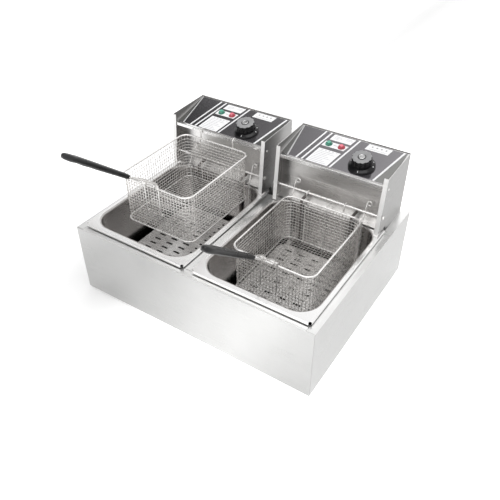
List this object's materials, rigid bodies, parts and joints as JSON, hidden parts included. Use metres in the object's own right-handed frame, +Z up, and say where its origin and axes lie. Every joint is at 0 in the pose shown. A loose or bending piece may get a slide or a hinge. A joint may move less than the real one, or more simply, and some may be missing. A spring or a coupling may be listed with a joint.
{
  "type": "deep fryer",
  "caption": "Twin-tank countertop electric deep fryer: steel casing, lift-out oil tanks, lift-off control heads with dials, wire frying baskets that hang on the heads.",
  "frame": {"origin": "middle of the bounding box, on the plane the feet rest on", "axes": "+Z up, +X to the right of a person who faces the fryer, +Y towards its back; the basket handles point to -Y"},
  "size_m": [0.57, 0.552, 0.4391],
  "materials": {
    "steel": "satin brushed stainless",
    "tank_steel": "satin drawn stainless",
    "wire": "bright nickel-plated wire",
    "element": "dull heat-darkened sheath",
    "overlay": "matt printed film, charcoal with white marks",
    "black_plastic": "semi-matt moulded",
    "grip": "matt moulded",
    "ceramic": "matt, off-white electrical ceramic",
    "green_lens": "clear faceted, green",
    "red_lens": "clear faceted, red",
    "rubber": "matt black"
  },
  "bodies": {
    "casing": {"front_panel": "steel", "left_panel": "steel", "right_panel": "steel", "rear_panel": "steel", "base_plate": "steel", "rear_rail": "steel", "centre_divider": "steel", "front_left_foot": "rubber", "front_right_foot": "rubber", "rear_left_foot": "rubber", "rear_right_foot": "rubber"},
    "left_tank": {"left_oil_tank": "tank_steel"},
    "left_head": {"left_head_shell": "steel", "left_control_panel": "steel", "left_panel_overlay": "overlay", "left_upper_bar": "steel", "left_lower_rod": "wire", "left_green_lamp": "green_lens", "left_red_lamp": "red_lens", "left_heating_element": "element", "left_thermostat_probe": "wire", "left_thermostat": "ceramic", "left_terminal_block": "ceramic", "left_thermal_cutout": "ceramic", "left_cable_gland": "black_plastic"},
    "left_knob": {"left_knob": "black_plastic", "left_thermostat_spindle": "steel"},
    "left_reset": {"left_reset_button": "black_plastic"},
    "left_baffle": {"left_baffle_plate": "steel", "left_baffle_wire_a": "wire", "left_baffle_wire_b": "wire"},
    "left_basket": {"left_basket": "wire", "left_basket_frame": "wire"},
    "left_handle": {"left_handle_wire": "wire", "left_handle_grip": "grip"},
    "right_tank": {"right_oil_tank": "tank_steel"},
    "right_head": {"right_head_shell": "steel", "right_control_panel": "steel", "right_panel_overlay": "overlay", "right_upper_bar": "steel", "right_lower_rod": "wire", "right_green_lamp": "green_lens", "right_red_lamp": "red_lens", "right_heating_element": "element", "right_thermostat_probe": "wire", "right_thermostat": "ceramic", "right_terminal_block": "ceramic", "right_thermal_cutout": "ceramic", "right_cable_gland": "black_plastic"},
    "right_knob": {"right_knob": "black_plastic", "right_thermostat_spindle": "steel"},
    "right_reset": {"right_reset_button": "black_plastic"},
    "right_baffle": {"right_baffle_plate": "steel", "right_baffle_wire_a": "wire", "right_baffle_wire_b": "wire"},
    "right_basket": {"right_basket": "wire", "right_basket_frame": "wire"},
    "right_handle": {"right_handle_wire": "wire", "right_handle_grip": "grip"}
  },
  "joints": [
    {"name": "left_tank_lift", "type": "slide", "parent": "casing", "child": "left_tank", "axis": [0, 0, 1], "range_m": [0, 0.15]},
    {"name": "left_head_lift", "type": "slide", "parent": "left_tank", "child": "left_head", "axis": [0, 0, 1], "range_m": [0, 0.15]},
    {"name": "left_baffle_lift", "type": "slide", "parent": "left_head", "child": "left_baffle", "axis": [0, 0, 1], "range_m": [0, 0.018]},
    {"name": "left_basket_lift", "type": "slide", "parent": "left_head", "child": "left_basket", "axis": [0, -0.1961, 0.9806], "range_m": [0, 0.12]},
    {"name": "left_handle_fold", "type": "hinge", "parent": "left_basket", "child": "left_handle", "pos_m": [-0.14, -0.08044, 0.282], "axis": [-1, 0, 0], "range_deg": [0, 100]},
    {"name": "left_knob_turn", "type": "hinge", "parent": "left_head", "child": "left_knob", "pos_m": [-0.088, 0.18715, 0.29649], "axis": [0, 0.214, -0.9768], "range_deg": [0, 280]},
    {"name": "left_reset_press", "type": "slide", "parent": "left_head", "child": "left_reset", "axis": [0, -1, 0], "range_m": [0, 0.003], "stiffness_N_per_m": 300, "springref_m": -0.001},
    {"name": "right_tank_lift", "type": "slide", "parent": "casing", "child": "right_tank", "axis": [0, 0, 1], "range_m": [0, 0.15]},
    {"name": "right_head_lift", "type": "slide", "parent": "right_tank", "child": "right_head", "axis": [0, 0, 1], "range_m": [0, 0.15]},
    {"name": "right_baffle_lift", "type": "slide", "parent": "right_head", "child": "right_baffle", "axis": [0, 0, 1], "range_m": [0, 0.018]},
    {"name": "right_basket_lift", "type": "slide", "parent": "right_head", "child": "right_basket", "axis": [0, -0.1961, 0.9806], "range_m": [0, 0.12]},
    {"name": "right_handle_fold", "type": "hinge", "parent": "right_basket", "child": "right_handle", "pos_m": [0.14, -0.08344, 0.214], "axis": [-1, 0, 0], "range_deg": [0, 100]},
    {"name": "right_knob_turn", "type": "hinge", "parent": "right_head", "child": "right_knob", "pos_m": [0.192, 0.18715, 0.29649], "axis": [0, 0.214, -0.9768], "range_deg": [0, 280]},
    {"name": "right_reset_press", "type": "slide", "parent": "right_head", "child": "right_reset", "axis": [0, -1, 0], "range_m": [0, 0.003], "stiffness_N_per_m": 300, "springref_m": -0.001}
  ]
}
